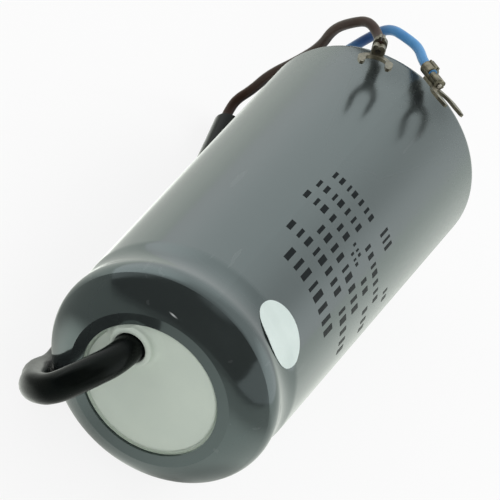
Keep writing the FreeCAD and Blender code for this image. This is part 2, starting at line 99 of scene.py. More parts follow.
# %% [markdown]
# ## The cable and its cores
#
# A cable is a fixed length of something flexible. The sheath leaves the boss, turns in a tight loop and
# comes down to the floor, where it lies along the can. Its two cores go on from the cut end, rise behind
# the closed end and bend over to the terminals. Each could be an extruded circle, but it is one smooth
# curve: a NURBS spline of order 3 whose control points are listed, so a bend can still be moved
# with one point. The order is set after the points are added, because set before, it stays at straight
# runs.
#
# The tube is as thick as the bevel depth times the radius of its points. The box that Blender draws round a
# curve counts the points' radius alone, so the depth is 1 here and the points carry the real radius.

# %% Cord routes, in millimetres
cable_route = [
    (-8.0, -49.6, 32.6), (-8.0, -56.2, 32.6), (-11.0, -63.9, 30.3), (-14.6, -66.5, 23.3),
    (-18.4, -62.3, 17.0), (-19.4, -53.5, 10.9), (-20.7, -46.0, 5.4), (-19.0, -39.6, 3.5),
    (-19.6, -31.2, 3.2), (-19.7, -17.8, 3.2), (-19.5, -1.8, 3.2), (-20.3, 14.2, 3.2),
    (-21.6, 28.2, 3.2), (-24.4, 42.2, 3.2), (-27.3, 55.7, 3.2)]
brown_route = [
    (-27.96, 53.31, 3.2), (-28.51, 55.85, 3.2), (-29.2, 58.4, 4.1), (-29.5, 60.7, 6.1), (-28.1, 62.5, 9.5),
    (-27.0, 63.1, 15.5), (-23.9, 62.6, 23.3), (-21.4, 61.3, 31.6), (-21.3, 59.5, 39.1), (-18.9, 57.7, 44.9),
    (-15.7, 56.2, 49.8), (-11.04, 51.78, 50.87), (-10.39, 48.09, 52.54)]
blue_route = [
    (-25.71, 53.79, 3.2), (-26.26, 56.33, 3.2), (-26.2, 59.3, 4.2), (-25.4, 61.6, 7.0), (-23.4, 62.9, 13.7),
    (-20.2, 63.1, 23.4), (-16.8, 62.5, 33.2), (-14.2, 61.3, 42.1), (-11.7, 60.0, 48.7), (-7.1, 58.1, 50.8),
    (-3.9, 56.8, 51.7), (-1.11, 52.79, 52.57), (1.95, 50.31, 53.7)]
sheath_radius = 3.2 * MM
core_radius = 1.1 * MM
print("control points:", len(cable_route), len(brown_route), len(blue_route))

# %% A cord is a bevelled NURBS curve


def make_cord(name, route, radius):
    """A round cord along the smooth curve of its route, with closed ends."""
    curve = bpy.data.curves.new(name, "CURVE")
    curve.dimensions = "3D"
    curve.resolution_u = 16
    curve.bevel_depth = 1.0
    curve.bevel_resolution = 8
    curve.use_fill_caps = True
    spline = curve.splines.new("NURBS")
    spline.points.add(len(route) - 1)
    for point, place in zip(spline.points, route):
        point.co = (*(c * MM for c in place), 1.0)
        point.radius = radius
    spline.order_u = 3
    spline.use_endpoint_u = True
    cord = bpy.data.objects.new(name, curve)
    bpy.context.scene.collection.objects.link(cord)
    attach(cord, "root")
    return cord


sheath = make_cord("sheath", cable_route, sheath_radius)
brown_core = make_cord("brown_core", brown_route, core_radius)
blue_core = make_cord("blue_core", blue_route, core_radius)
print("cords:", sheath.name, brown_core.name, blue_core.name)

# %% [markdown]
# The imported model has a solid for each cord, which the curve takes the place of.

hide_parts("cable_sheath")
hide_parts("wire_brown")
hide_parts("wire_blue")


def cord_exit(route):
    """The route's first point, in metres."""
    return tuple(c * MM for c in route[0])


print("the sheath leaves the boss at", cord_exit(cable_route))

# %% [markdown]
# ## The printing
#
# The sleeve carries rows of dark printing round the can, shown as plain blocks of one height, pitch and
# tone in each row. They could be an image on the film, but faces of their own stay sharp at any size. Ink
# lies on the film, so each row is cut from a thin band a few hundredths of a millimetre outside it: a
# cylinder with no ends, of which only the blocks' faces are kept. An angle is counted from the top of the
# can towards +X, and a group of blocks runs from its first one to lower angles.

# %% Rows of the printing
ink_lift = 0.03 * MM
band_steps = 1440
block_shares = (0.50, 0.35, 0.42, 0.56, 0.30, 0.46, 0.38)  # each block's share of the pitch, in turn
print_rows = [  # distance from the rim, height and pitch in millimetres, groups as (first angle, blocks)
    (31.4, 3.9, 2.65, [(54.5, 8)]),
    (38.3, 2.9, 2.45, [(75.0, 5), (42.5, 8)]),
    (43.8, 2.9, 2.42, [(59.0, 9)]),
    (49.0, 2.4, 2.40, [(78.0, 3), (56.0, 2), (26.5, 6)]),
    (48.1, 1.1, 1.25, [(40.0, 3)]),
    (50.2, 1.1, 1.25, [(37.5, 3)]),
    (54.0, 2.3, 2.05, [(67.0, 7), (28.0, 7)]),
    (59.3, 2.1, 1.95, [(74.0, 2), (29.5, 7)]),
    (61.4, 3.4, 1.60, [(47.0, 3)])]
print("printed blocks:", sum(count for row in print_rows for _, count in row[3]))

# %% One row of blocks


def block_spans(pitch, groups):
    """First and last angle of every block, in degrees."""
    step = math.degrees(pitch * MM / body_radius)
    spans = []
    for first, count in groups:
        for i in range(count):
            width = block_shares[i % len(block_shares)]
            spans.append((first - step * (i + width), first - step * i))
    return spans


def add_print_row(place, height, pitch, groups):
    """A thin band round the can, with all but its blocks taken away."""
    bpy.ops.object.select_all(action="DESELECT")
    bpy.ops.mesh.primitive_cylinder_add(
        vertices=band_steps, radius=body_radius + ink_lift, depth=height * MM, end_fill_type="NOTHING",
        location=(0, rim_y + place * MM, axis_height), rotation=(math.pi / 2, 0, 0))
    row = bpy.context.object
    bpy.ops.object.transform_apply(location=True, rotation=True, scale=True)
    spans = block_spans(pitch, groups)
    bpy.ops.object.mode_set(mode="EDIT")
    bpy.ops.mesh.select_mode(type="FACE")
    bpy.ops.mesh.select_all(action="DESELECT")
    bpy.ops.object.mode_set(mode="OBJECT")
    for face in row.data.polygons:
        angle = math.degrees(math.atan2(face.center.x, face.center.z - axis_height))
        face.select = not any(low <= angle <= high for low, high in spans)
    bpy.ops.object.mode_set(mode="EDIT")
    bpy.ops.mesh.delete(type="FACE")
    bpy.ops.object.mode_set(mode="OBJECT")
    bpy.ops.object.shade_smooth()
    return row


rows = [add_print_row(*row) for row in print_rows]
print("rows:", len(rows))

# %% Join the rows into one piece
bpy.ops.object.select_all(action="DESELECT")
for row in rows:
    row.select_set(True)
bpy.context.view_layer.objects.active = rows[0]
bpy.ops.object.join()
printing = rows[0]
printing.name = "printing"
bpy.ops.object.transform_apply(location=True, rotation=True, scale=True)
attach(printing, "root")
print("printing:", len(printing.data.polygons), "faces")

# %% [markdown]
# ## The sticker
#
# A blank white sticker is pressed on the sleeve beside the bead, where it bends down into the bead's
# valley. It starts as a flat oval above its place. Shrinkwrap projects it on the sleeve, which follows the
# bead without any measuring, and Solidify gives it the thickness of paper. Its inner edge has come loose
# and stands up a little, and a short crease runs in from it.

# %% Oval above its place
sticker_along = 5.15 * MM
sticker_around = 7.39 * MM
sticker_angle = math.radians(33.8)
sticker_y = rim_y + 15.45 * MM
start_radius = body_radius + 3 * MM
bpy.ops.object.select_all(action="DESELECT")
bpy.ops.mesh.primitive_circle_add(
    vertices=96, radius=1.0, fill_type="TRIFAN", rotation=(0, sticker_angle, 0),
    location=(start_radius * math.sin(sticker_angle), sticker_y,
              axis_height + start_radius * math.cos(sticker_angle)))
sticker = bpy.context.object
sticker.name = "sticker"
sticker.scale = (sticker_around, sticker_along, 1.0)
bpy.ops.object.transform_apply(location=False, rotation=False, scale=True)
bpy.ops.object.mode_set(mode="EDIT")
bpy.ops.mesh.select_all(action="SELECT")
bpy.ops.mesh.subdivide(number_cuts=14)
bpy.ops.object.mode_set(mode="OBJECT")
print("flat oval:", len(sticker.data.polygons), "faces")

# %% Press it on the sleeve
press = sticker.modifiers.new("press", "SHRINKWRAP")
press.target = nodes["sleeve"]
press.wrap_method = "PROJECT"
press.use_project_z = True
press.use_positive_direction = False
press.use_negative_direction = True
press.offset = 0.03 * MM
bpy.ops.object.modifier_apply(modifier=press.name)
print("pressed points:", len(sticker.data.vertices))

# %% Loose inner edge and crease; places and widths are shares of the oval's half axes
loose_from = 0.55
loose_middle = -0.38
loose_width = 0.40
loose_lift = 0.55 * MM
crease_middle = (0.42, -0.62)
crease_slant = 0.25
crease_width = 0.07
crease_length = 0.28
crease_lift = 0.22 * MM
for vertex in sticker.data.vertices:
    around = vertex.co.x / sticker_around
    along = vertex.co.y / sticker_along
    loose = max(0.0, -along - loose_from) * math.exp(-((around - loose_middle) / loose_width) ** 2)
    beside = (around - crease_middle[0] - crease_slant * along) / crease_width
    down = (along - crease_middle[1]) / crease_length
    vertex.co.z += loose_lift * loose + crease_lift * math.exp(-beside ** 2 - down ** 2)
print("loose edge and crease lifted")

# %% Paper thickness
paper = sticker.modifiers.new("paper", "SOLIDIFY")
paper.thickness = 0.09 * MM
paper.offset = 1.0
bpy.ops.object.modifier_apply(modifier=paper.name)
bpy.ops.object.transform_apply(location=True, rotation=True, scale=True)
bpy.ops.object.shade_smooth_by_angle(angle=math.radians(40))
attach(sticker, "root")
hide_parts("round_sticker")
print("sticker:", len(sticker.data.polygons), "faces")

# %% [markdown]
# ## Effects that several finishes share
#
# Plastic, rubber and metal all vary a little over their surface. Each effect is a node group, built once,
# and each material gives it its own scale and amounts. Soft mottling drifts between two colours. Grain
# gives a value for roughness and a height for bump. Thin marks are stretched scratches, and a small spot is
# a soft mask at one place. Painted images would show more, but they would fit one unwrapped shape only.

# %% A helper for node groups


def new_group(name, inputs, outputs):
    """An empty shader node group with the given sockets: (name, type, default value)."""
    group = bpy.data.node_groups.new(name, "ShaderNodeTree")
    for label, kind, default in inputs:
        socket = group.interface.new_socket(label, in_out="INPUT", socket_type=kind)
        if default is not None:
            socket.default_value = default
    for label, kind in outputs:
        group.interface.new_socket(label, in_out="OUTPUT", socket_type=kind)
    return group, group.nodes.new("NodeGroupInput"), group.nodes.new("NodeGroupOutput")


FLOAT = "NodeSocketFloat"
VECTOR = "NodeSocketVector"
COLOR = "NodeSocketColor"
print("group sockets:", FLOAT, VECTOR, COLOR)

# %% Helpers that add a node and feed a socket


def add_node(tree, kind, **values):
    """A node with its properties and input values set; a name with two underscores stands for a space."""
    node = tree.nodes.new(kind)
    for key, value in values.items():
        label = key.replace("__", " ")
        if label in node.inputs:
            node.inputs[label].default_value = value
        else:
            setattr(node, key, value)
    return node


def feed(tree, socket, value):
    """Links a socket into another, or sets a plain number or colour on it."""
    if isinstance(value, bpy.types.NodeSocket):
        tree.links.new(value, socket)
    elif isinstance(value, tuple):
        socket.default_value = (*value, 1.0)
    else:
        socket.default_value = value


print("helpers:", add_node.__name__, feed.__name__)

# %% Helpers for a ramp and for mixed colours
MIX_FACTOR = 0  # a Mix node has the same socket names for numbers and colours, so its sockets go by number
MIX_COLOURS = (6, 7)
MIXED_COLOUR = 2


def ramp(tree, source, low, high, first=0.0, last=1.0, kind="SMOOTHSTEP"):
    """A change from one number to another as the source runs from low to high."""
    node = add_node(tree, "ShaderNodeMapRange", interpolation_type=kind, From__Min=low, From__Max=high,
                    To__Min=first, To__Max=last)
    feed(tree, node.inputs["Value"], source)
    return node.outputs["Result"]


def mix_colours(tree, factor, first, second):
    """One colour where the factor is 0 and the other where it is 1."""
    mix = add_node(tree, "ShaderNodeMix", data_type="RGBA")
    feed(tree, mix.inputs[MIX_FACTOR], factor)
    feed(tree, mix.inputs[MIX_COLOURS[0]], first)
    feed(tree, mix.inputs[MIX_COLOURS[1]], second)
    return mix.outputs[MIXED_COLOUR]


print("helpers:", ramp.__name__, mix_colours.__name__)

# %% Soft mottling
mottle, group_in, group_out = new_group(
    "soft_mottling",
    [("Vector", VECTOR, None), ("Scale", FLOAT, 80.0), ("Base", COLOR, None), ("Drift", COLOR, None)],
    [("Color", COLOR)])
noise = add_node(mottle, "ShaderNodeTexNoise", Detail=4.0, Roughness=0.55)
mottle.links.new(group_in.outputs["Vector"], noise.inputs["Vector"])
mottle.links.new(group_in.outputs["Scale"], noise.inputs["Scale"])
drift = ramp(mottle, noise.outputs["Fac"], 0.35, 0.65, kind="LINEAR")
mottled = mix_colours(mottle, drift, group_in.outputs["Base"], group_in.outputs["Drift"])
mottle.links.new(mottled, group_out.inputs["Color"])
print(mottle.name, "has", len(mottle.nodes), "nodes")

# %% Grain: a roughness that varies and a height
grain, group_in, group_out = new_group(
    "surface_grain",
    [("Vector", VECTOR, None), ("Scale", FLOAT, 900.0), ("Smoothest", FLOAT, 0.2), ("Roughest", FLOAT, 0.3)],
    [("Roughness", FLOAT), ("Height", FLOAT)])
noise = add_node(grain, "ShaderNodeTexNoise", Detail=3.0, Roughness=0.6)
spread = add_node(grain, "ShaderNodeMapRange", From__Min=0.3, From__Max=0.7)
grain.links.new(group_in.outputs["Vector"], noise.inputs["Vector"])
grain.links.new(group_in.outputs["Scale"], noise.inputs["Scale"])
grain.links.new(noise.outputs["Fac"], spread.inputs["Value"])
grain.links.new(group_in.outputs["Smoothest"], spread.inputs["To Min"])
grain.links.new(group_in.outputs["Roughest"], spread.inputs["To Max"])
grain.links.new(spread.outputs["Result"], group_out.inputs["Roughness"])
grain.links.new(noise.outputs["Fac"], group_out.inputs["Height"])
print(grain.name, "has", len(grain.nodes), "nodes")

# %% Thin marks: stretched, thresholded noise


def combine(tree, operation, first, second):
    """The result of a maths node on two numbers."""
    node = add_node(tree, "ShaderNodeMath", operation=operation)
    feed(tree, node.inputs[0], first)
    feed(tree, node.inputs[1], second)
    return node.outputs[0]


marks, group_in, group_out = new_group(
    "thin_marks",
    [("Vector", VECTOR, None), ("Stretch", VECTOR, (900.0, 60.0, 900.0)), ("Rarity", FLOAT, 0.68)],
    [("Mask", FLOAT)])
stretch = add_node(marks, "ShaderNodeVectorMath", operation="MULTIPLY")
noise = add_node(marks, "ShaderNodeTexNoise", Scale=1.0, Detail=2.0)
marks.links.new(group_in.outputs["Vector"], stretch.inputs[0])
marks.links.new(group_in.outputs["Stretch"], stretch.inputs[1])
marks.links.new(stretch.outputs["Vector"], noise.inputs["Vector"])
over = combine(marks, "GREATER_THAN", noise.outputs["Fac"], group_in.outputs["Rarity"])
marks.links.new(over, group_out.inputs["Mask"])
print(marks.name, "has", len(marks.nodes), "nodes")

# %% A small spot: a soft round or stretched mask at one place
spot, group_in, group_out = new_group(
    "small_spot",
    [("Vector", VECTOR, None), ("Place", VECTOR, (0.0, 0.0, 0.0)), ("Squeeze", VECTOR, (1.0, 1.0, 1.0)),
     ("Radius", FLOAT, 0.0002)],
    [("Mask", FLOAT)])
away = add_node(spot, "ShaderNodeVectorMath", operation="SUBTRACT")
squeezed = add_node(spot, "ShaderNodeVectorMath", operation="MULTIPLY")
reach = add_node(spot, "ShaderNodeVectorMath", operation="LENGTH")
spot.links.new(group_in.outputs["Vector"], away.inputs[0])
spot.links.new(group_in.outputs["Place"], away.inputs[1])
spot.links.new(away.outputs["Vector"], squeezed.inputs[0])
spot.links.new(group_in.outputs["Squeeze"], squeezed.inputs[1])
spot.links.new(squeezed.outputs["Vector"], reach.inputs[0])
edge = add_node(spot, "ShaderNodeMapRange", interpolation_type="SMOOTHSTEP", From__Min=0.0, To__Min=1.0,
                To__Max=0.0)
spot.links.new(reach.outputs["Value"], edge.inputs["Value"])
spot.links.new(group_in.outputs["Radius"], edge.inputs["From Max"])
spot.links.new(edge.outputs["Result"], group_out.inputs["Mask"])
print(spot.name, "has", len(spot.nodes), "nodes")

# %% [markdown]
# ## Finishes
#
# Every material starts the same way: object coordinates, a Principled shader, mottled colour, grain in its
# roughness and a faint bump. A value that is the same all over is set on the shader's own socket.

# %% A plain finish from the shared effects


def add_group(tree, group, vector, **values):
    """A placed node group that reads the given coordinates."""
    node = tree.nodes.new("ShaderNodeGroup")
    node.node_tree = group
    for key, value in values.items():
        node.inputs[key].default_value = value
    tree.links.new(vector, node.inputs["Vector"])
    return node


def finish(name, base, drift, roughness, mottle_scale=80.0, grain_scale=900.0, bump=0.05,
           bump_distance=0.02, metallic=0.0, ior=1.5, tint=(1.0, 1.0, 1.0)):
    """A material whose colour drifts between two and whose roughness varies between a pair of values."""
    smoothest, roughest = roughness
    material = bpy.data.materials.new(name)
    material.use_nodes = True
    tree = material.node_tree
    shader = tree.nodes["Principled BSDF"]
    shader.inputs["Metallic"].default_value = metallic
    shader.inputs["IOR"].default_value = ior
    shader.inputs["Specular Tint"].default_value = (*tint, 1.0)
    place = add_node(tree, "ShaderNodeTexCoord").outputs["Object"]
    colour = add_group(tree, mottle, place, Scale=mottle_scale, Base=(*base, 1.0), Drift=(*drift, 1.0))
    surface = add_group(tree, grain, place, Scale=grain_scale, Smoothest=smoothest, Roughest=roughest)
    relief = add_node(tree, "ShaderNodeBump", Strength=bump, Distance=bump_distance * MM)
    tree.links.new(colour.outputs["Color"], shader.inputs["Base Color"])
    tree.links.new(surface.outputs["Roughness"], shader.inputs["Roughness"])
    tree.links.new(surface.outputs["Height"], relief.inputs["Height"])
    tree.links.new(relief.outputs["Normal"], shader.inputs["Normal"])
    return material


def dress(material, *pieces):
    """The pieces get this one material."""
    for piece in pieces:
        piece.data.materials.clear()
        piece.data.materials.append(material)
    print(material.name, "on", [piece.name for piece in pieces])


# %% [markdown]
# The sleeve is a glossy film, shrunk on. Most of its grey is what it mirrors, so its own colour is nearly
# black and its index of refraction is high. A pale grey with a low gloss would match from one side only.
# The film is glossiest at the mouth, where it is stretched over the bead, and duller and paler towards the
# closed end.

# %% Sleeve film
film = finish("sleeve_film", (0.028, 0.034, 0.034), (0.033, 0.040, 0.039), roughness=(0.09, 0.14),
              mottle_scale=35.0, grain_scale=1200.0, bump=0.10, bump_distance=0.01, ior=1.85,
              tint=(0.80, 0.985, 0.99))
dress(film, nodes["sleeve"])

# %% The film's change from the mouth to the closed end
film_tree = film.node_tree
film_grain = next(node for node in film_tree.nodes if node.type == "GROUP" and node.node_tree == grain)
film_place = add_node(film_tree, "ShaderNodeTexCoord").outputs["Object"]
film_split = add_node(film_tree, "ShaderNodeSeparateXYZ")
film_tree.links.new(film_place, film_split.inputs[0])
along_film = film_split.outputs["Y"]
dulling_start = rim_y + 20 * MM
paling_start = rim_y + 40 * MM
for socket, at_mouth, at_closed_end in (("Smoothest", 0.09, 0.23), ("Roughest", 0.14, 0.30)):
    dulling = ramp(film_tree, along_film, dulling_start, closed_y, at_mouth, at_closed_end, kind="LINEAR")
    film_tree.links.new(dulling, film_grain.inputs[socket])
pale_share = ramp(film_tree, along_film, paling_start, closed_y, kind="LINEAR")
print("the film dulls from", round(dulling_start, 4), "and pales from", round(paling_start, 4))

# %% [markdown]
# Handling leaves thin pale scuffs and two dark specks on the film. A bright dash above the boss is a painted
# highlight, and two soft patches of painted shade lie under the forks, which sit close to the film. Each is
# one more colour laid over the finish through a mask, so the finish below stays as it is, and a mark can be
# moved by its place alone.

# %% Scuffs, specks, painted shade and a painted highlight laid over a finish's colour


def lay_over(material, mask, colour):
    """Another colour over the finish where the mask is 1."""
    tree = material.node_tree
    base_socket = tree.nodes["Principled BSDF"].inputs["Base Color"]
    tree.links.new(mix_colours(tree, mask, base_socket.links[0].from_socket, colour), base_socket)


def add_spot(material, place, radius, colour, squeeze=(1.0, 1.0, 1.0)):
    """One soft mark; its place and radius are in millimetres, and a squeeze below 1 stretches it."""
    tree = material.node_tree
    where = add_node(tree, "ShaderNodeTexCoord").outputs["Object"]
    mark = add_group(tree, spot, where, Place=[c * MM for c in place], Squeeze=squeeze, Radius=radius * MM)
    lay_over(material, mark.outputs["Mask"], colour)


lay_over(film, pale_share, (0.044, 0.052, 0.051))
scuffs = add_group(film_tree, marks, film_place, Stretch=(420.0, 75.0, 420.0), Rarity=0.72)
lay_over(film, scuffs.outputs["Mask"], (0.050, 0.056, 0.056))
painted_glint = (-4.98, -50.01, 44.5)
painted_fork_shades = ((-5.5, 47.5, 49.8), (6.0, 48.0, 50.0))
specks = ((18.66, 40.41, 41.93), (23.4, 31.4, 34.0))
# painted highlight: a bright dash on the film above the boss
add_spot(film, painted_glint, 0.26, (0.60, 0.63, 0.63), squeeze=(0.16, 1.0, 1.0))
# painted shade: a dark soft patch on the film under each fork
for place in painted_fork_shades:
    add_spot(film, place, 7.0, (0.002, 0.003, 0.003))
for place in specks:
    add_spot(film, place, 0.32, (0.004, 0.004, 0.004))
print("marks on the film:", 1 + len(painted_fork_shades) + len(specks))

# %% [markdown]
# The printing is black ink, duller than the film. A low index of refraction keeps it dark where the film
# around it mirrors the light.

# %% Ink of the printing
ink = finish("printing_ink", (0.005, 0.008, 0.009), (0.008, 0.012, 0.013), roughness=(0.30, 0.45),
             mottle_scale=400.0, ior=1.16)
dress(ink, printing)

# %% [markdown]
# The cover is moulded from a pale greenish white plastic with a satin surface and has one dark speck. The
# can is bare aluminium, which shows only on the closed end, where the sleeve is open. The gasket is matt
# black.

# %% Cover, can and gasket
cover_plastic = finish("cover_plastic", (0.58, 0.66, 0.58), (0.62, 0.70, 0.61), roughness=(0.42, 0.55),
                       mottle_scale=60.0, grain_scale=1500.0, bump=0.12)
cover_speck = (2.93, 0.0, 9.6)
add_spot(cover_plastic, cover_speck, 0.3, (0.06, 0.06, 0.05), squeeze=(1.0, 0.0, 1.0))
dress(cover_plastic, nodes["cover"])
can_aluminium = finish("can_aluminium", (0.70, 0.71, 0.72), (0.62, 0.63, 0.65), roughness=(0.30, 0.42),
                       metallic=1.0)
dress(can_aluminium, nodes["can"], nodes["cable_clamp"])
gasket_rubber = finish("gasket_rubber", (0.02, 0.02, 0.02), (0.03, 0.03, 0.03), roughness=(0.7, 0.85))
dress(gasket_rubber, nodes["sealing_gasket"])

# %% [markdown]
# The sheath is smooth black rubber that stays dark even where it shines, so its index of refraction is low
# too. The cores are satin plastic, one dark brown and one bright blue, and the blue carries painted shade,
# darker where it dips behind the rim. The stretches inside the can get the same finishes.

# %% Cable, cores and their inner stretches
sheath_rubber = finish("sheath_rubber", (0.003, 0.004, 0.004), (0.005, 0.006, 0.005), roughness=(0.18, 0.26),
                       mottle_scale=200.0, bump=0.08, ior=1.17, tint=(0.86, 1.0, 0.94))
brown_plastic = finish("brown_plastic", (0.046, 0.025, 0.017), (0.036, 0.021, 0.015), roughness=(0.34, 0.46),
                       mottle_scale=250.0, ior=1.26)
blue_plastic = finish("blue_plastic", (0.125, 0.355, 0.65), (0.085, 0.285, 0.59), roughness=(0.28, 0.40),
                      mottle_scale=250.0, ior=1.32)
# painted shade: the blue core is darkened where it dips behind the rim, in the can's shade
painted_shade_behind_rim = (-15.0, 61.5, 42.5)
add_spot(blue_plastic, painted_shade_behind_rim, 11.0, (0.010, 0.060, 0.230))
dress(sheath_rubber, sheath, nodes["sheath_tail"])
dress(brown_plastic, brown_core, nodes["inner_core_brown"])
dress(blue_plastic, blue_core, nodes["inner_core_blue"])

# %% [markdown]
# The forks are tinned metal that has gone dull and yellowish in places, which two well separated colours in
# the mottling give. The copper strands in their barrels are tinned too, and shinier.

# %% Terminals and strands
tinned = finish("tinned_terminal", (0.22, 0.205, 0.145), (0.085, 0.08, 0.057), roughness=(0.34, 0.50),
                mottle_scale=700.0, grain_scale=2500.0, bump=0.3, bump_distance=0.05, metallic=0.7)
tinned_copper = finish("tinned_copper", (0.50, 0.48, 0.44), (0.36, 0.33, 0.28), roughness=(0.25, 0.40),
                       mottle_scale=900.0, metallic=1.0)
dress(tinned, nodes["fork_brown"], nodes["fork_blue"])
dress(tinned_copper, nodes["strands_brown"], nodes["strands_blue"])

# %% [markdown]
# The sticker is coated white paper with a slight green cast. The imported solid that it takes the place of
# gets the same finish.

# %% Sticker
sticker_paper = finish("sticker_paper", (0.64, 0.745, 0.71), (0.71, 0.81, 0.775), roughness=(0.40, 0.55),
                       mottle_scale=120.0, bump=0.1)
dress(sticker_paper, sticker, nodes["round_sticker"])

# %% [markdown]
# Nobody sees the pieces inside the can, but the part can be taken apart, so each has the finish of its
# usual stuff: a roll of paper and foil closed with tape, discs of pressboard, foil tabs and tinned crimp
# sleeves.

# %% Inner pieces
roll_paper = finish("roll_paper", (0.50, 0.46, 0.38), (0.42, 0.38, 0.30), roughness=(0.6, 0.8))
roll_tape = finish("roll_tape", (0.58, 0.48, 0.24), (0.52, 0.42, 0.20), roughness=(0.3, 0.4))
pressboard = finish("pressboard", (0.30, 0.20, 0.11), (0.24, 0.16, 0.09), roughness=(0.7, 0.9),
                    mottle_scale=300.0, bump=0.3)
foil = finish("foil", (0.75, 0.75, 0.76), (0.66, 0.66, 0.68), roughness=(0.25, 0.4), metallic=1.0)
splice_tin = finish("splice_tin", (0.60, 0.58, 0.52), (0.50, 0.48, 0.42), roughness=(0.3, 0.45), metallic=1.0)
dress(roll_paper, nodes["winding"])
dress(roll_tape, nodes["winding_tape"])
dress(pressboard, nodes["base_pad"], nodes["top_insulator"])
dress(foil, nodes["tab_brown"], nodes["tab_blue"])
dress(splice_tin, nodes["splice_brown"], nodes["splice_blue"])

# %% [markdown]
# ## Light and background
#
# The photograph is a product shot inside a white tent. The glossy film mirrors that tent: white all round,
# with brighter walls to the left, to the right and behind, and dim on the side where the camera looks in. A
# dark opening shows in the rolled mouth. The world gives reflections this tent, made of smooth masks that
# depend on the direction alone. A picture of a studio would do the same, but each wall here is one line
# that can be changed.

# %% World: masks by direction
world = bpy.data.worlds.new("tent")
bpy.context.scene.world = world
world.use_nodes = True
tent = world.node_tree
direction = add_node(tent, "ShaderNodeTexCoord").outputs["Generated"]


def facing(towards, low, high):
    """A smooth mask that is 0 up to a lean of low towards a direction, and 1 from a lean of high."""
    lean = add_node(tent, "ShaderNodeVectorMath", operation="DOT_PRODUCT")
    lean.inputs[1].default_value = Vector(towards).normalized()
    tent.links.new(direction, lean.inputs[0])
    return ramp(tent, lean.outputs["Value"], low, high)


behind_left = facing((-0.42, 0.72, 0.55), 0.65, 1.0)
left_wall = facing((-0.93, 0.10, 0.35), 0.70, 0.95)
right_wall = facing((0.90, 0.35, 0.25), 0.80, 0.97)
front = facing((-0.05, -0.99, 0.0), 0.0, 0.20)
opening = facing((0.200, -0.953, -0.228), -0.05, 0.05)
opening_sides = (((-0.642, -0.417, 0.643), -0.02, 0.02), ((-0.309, -0.951, 0.0), -0.12, 0.12),
                 ((0.0, 0.0, -1.0), -0.95, -0.84))
for side in opening_sides:
    opening = combine(tent, "MULTIPLY", opening, facing(*side))
print("sides of the opening:", 1 + len(opening_sides))

# %% World: the tent as reflections see it
tent_white = 1.1
wall_levels = ((behind_left, 1.65), (left_wall, 2.1), (right_wall, 1.9), (front, 0.6), (opening, 0.0))
tent_colour = (tent_white,) * 3
for mask, level in wall_levels:
    tent_colour = mix_colours(tent, mask, tent_colour, (level,) * 3)
tent_view = add_node(tent, "ShaderNodeBackground", Strength=1.0)
tent.links.new(tent_colour, tent_view.inputs["Color"])
print("walls:", len(wall_levels))

# %% [markdown]
# The tent is for reflections only. Everything else gets an even fill light, which keeps the shaded sides
# readable, and the camera sees plain white behind the floor. Light Path says which kind of ray is asking.

# %% World: which rays see the tent


def mix_shaders(tree, factor, first, second):
    """One shader where the factor is 0 and the other where it is 1."""
    mix = add_node(tree, "ShaderNodeMixShader")
    for socket, value in zip(mix.inputs, (factor, first, second)):
        feed(tree, socket, value)
    return mix.outputs[0]


fill_light = tent.nodes["Background"]
fill_light.inputs["Color"].default_value = (1.0, 1.0, 1.0, 1.0)
fill_light.inputs["Strength"].default_value = 0.42
white_view = add_node(tent, "ShaderNodeBackground", Strength=1.0)
ray = add_node(tent, "ShaderNodeLightPath")
lit_world = mix_shaders(tent, ray.outputs["Is Glossy Ray"], fill_light.outputs[0], tent_view.outputs[0])
seen_world = mix_shaders(tent, ray.outputs["Is Camera Ray"], lit_world, white_view.outputs[0])
tent.links.new(seen_world, tent.nodes["World Output"].inputs["Surface"])
print("fill light:", round(fill_light.inputs["Strength"].default_value, 2))

# %% [markdown]
# Three broad soft lamps give the object its shading: one behind on the right, one on the left and one in
# front. They are left out of reflections, where the tent stands for them. Small lamps would cast hard
# shadows.

# %% Lamps
lamp_target = Vector((0.0, 0.0, axis_height))


def add_softbox(name, place, size, power):
    """A square area lamp that faces the can's middle."""
    bpy.ops.object.light_add(type="AREA", location=place)
    lamp = bpy.context.object
    lamp.name = name
    lamp.data.shape = "SQUARE"
    lamp.data.size = size
    lamp.data.energy = power
    lamp.rotation_euler = (lamp_target - Vector(place)).to_track_quat("-Z", "Y").to_euler()
    lamp.visible_glossy = False
    print(name, "lamp of", power, "W")


add_softbox("key", (0.35, 0.50, 0.60), size=0.5, power=3.2)
add_softbox("side", (-0.60, -0.30, 0.60), size=0.6, power=1.0)
add_softbox("front", (0.25, -0.75, 0.60), size=0.4, power=1.9)

# %% [markdown]
# ## The floor
#
# The floor is a pale sheet that reaches far beyond the object. It has three looks, one for each kind of
# ray: lit paper for light that bounces, a plain map of brightness for reflections, and nearly white for the
# camera.

# %% Floor sheet
floor_size = 6.0
bpy.ops.mesh.primitive_grid_add(x_subdivisions=4, y_subdivisions=4, size=floor_size, location=(0, 0, 0))
floor = bpy.context.object
floor.name = "floor"
floor_paper = finish("floor_paper", (0.90, 0.90, 0.90), (0.92, 0.92, 0.92), roughness=(0.8, 0.9),
                     mottle_scale=4.0, bump=0.0)
paper_tree = floor_paper.node_tree
paper_place = add_node(paper_tree, "ShaderNodeTexCoord").outputs["Object"]
split = add_node(paper_tree, "ShaderNodeSeparateXYZ")
paper_tree.links.new(paper_place, split.inputs[0])
floor_x = split.outputs["X"]
floor_y = split.outputs["Y"]
dress(floor_paper, floor)

# %% [markdown]
# The film mirrors the floor near the can, and the mouth mirrors the floor in front of it. There the sheet
# dims with distance and is a little brighter to the right. Round glows lie near the mouth: two add light
# and three take some away. Places are in metres here; the other numbers are brightness.

